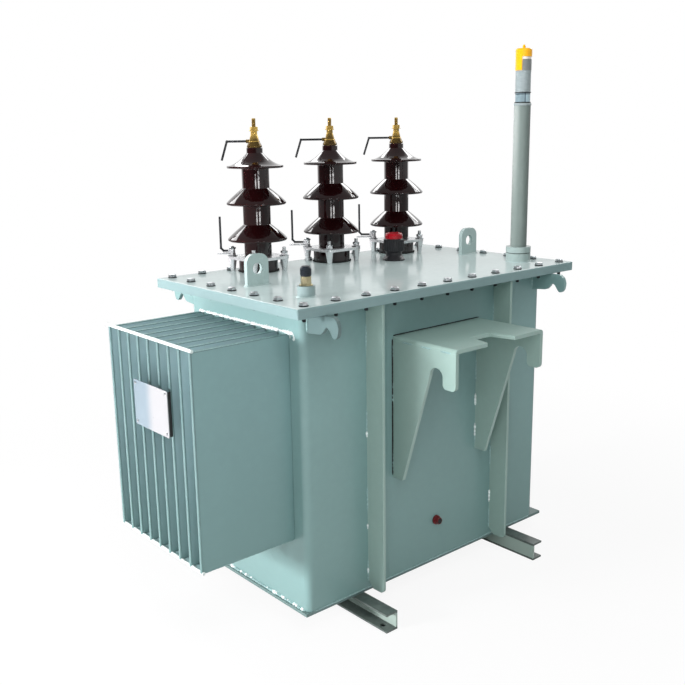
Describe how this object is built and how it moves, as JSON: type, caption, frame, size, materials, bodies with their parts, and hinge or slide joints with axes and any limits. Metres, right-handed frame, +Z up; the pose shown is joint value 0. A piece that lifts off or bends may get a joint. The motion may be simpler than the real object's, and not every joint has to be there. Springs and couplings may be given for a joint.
{
  "type": "distribution transformer",
  "caption": "Oil-filled distribution transformer: box tank on base channels, fins on one end, hanger bracket, brown porcelain bushings, filler pipe and lifting lugs on the cover.",
  "frame": {"origin": "middle of the rectangle of foot bolt holes, at ground level under the base channels", "axes": "+Z up, X along the tank's long side with the cooling fins at -X, the hanger bracket at -Y and the low-voltage bushings at +Y"},
  "size_m": [1.2265, 0.833, 1.436],
  "materials": {
    "tank_paint": "semi-gloss grey-green paint",
    "cover_paint": "gloss grey-green paint",
    "gasket_rubber": "matt black",
    "plate_metal": "bare white-coated plate",
    "brass": "satin",
    "black_plastic": "matt black",
    "red_plastic": "gloss red",
    "sight_glass": "clear tube",
    "neck_metal": "satin grey",
    "yellow_plastic": "gloss yellow",
    "brown_porcelain": "brown glaze",
    "clamp_metal": "bright cast",
    "horn_steel": "dark bare rod",
    "plug_paint": "dark red"
  },
  "bodies": {
    "root": {"base_channel_left": "tank_paint", "base_channel_right": "tank_paint", "tank_floor": "tank_paint", "tank_shell": "tank_paint", "tank_flange": "tank_paint", "cover_gasket": "gasket_rubber", "cover": "cover_paint", "cooling_fins": "tank_paint", "fin_tie_rod_top": "tank_paint", "fin_tie_rod_bottom": "tank_paint", "nameplate_bracket": "tank_paint", "nameplate": "plate_metal", "stiffener_left": "tank_paint", "stiffener_right": "tank_paint", "hanger_cheek_left": "tank_paint", "hanger_cheek_right": "tank_paint", "hanger_top_plate": "tank_paint", "lifting_hook_front_left": "tank_paint", "lifting_hook_front_right": "tank_paint", "lifting_hook_back_left": "tank_paint", "lifting_hook_back_right": "tank_paint", "lifting_lug_left": "tank_paint", "lifting_lug_right": "tank_paint", "thermometer_pocket": "tank_paint", "thermometer_fitting": "brass", "thermometer_cap": "black_plastic", "tap_changer_body": "black_plastic", "tap_changer_cap": "red_plastic", "filler_flange": "tank_paint", "filler_pipe": "tank_paint", "sight_glass": "sight_glass", "filler_neck": "neck_metal", "filler_cap": "yellow_plastic", "hv_porcelain_a": "brown_porcelain", "hv_porcelain_b": "brown_porcelain", "hv_porcelain_c": "brown_porcelain", "hv_clamp_a": "clamp_metal", "hv_clamp_b": "clamp_metal", "hv_clamp_c": "clamp_metal", "hv_terminal_a": "brass", "hv_terminal_b": "brass", "hv_terminal_c": "brass", "hv_upper_horns": "horn_steel", "hv_lower_horns": "horn_steel", "lv_insulators": "brown_porcelain", "lv_terminals": "brass", "drain_plug": "plug_paint"}
  },
  "joints": []
}
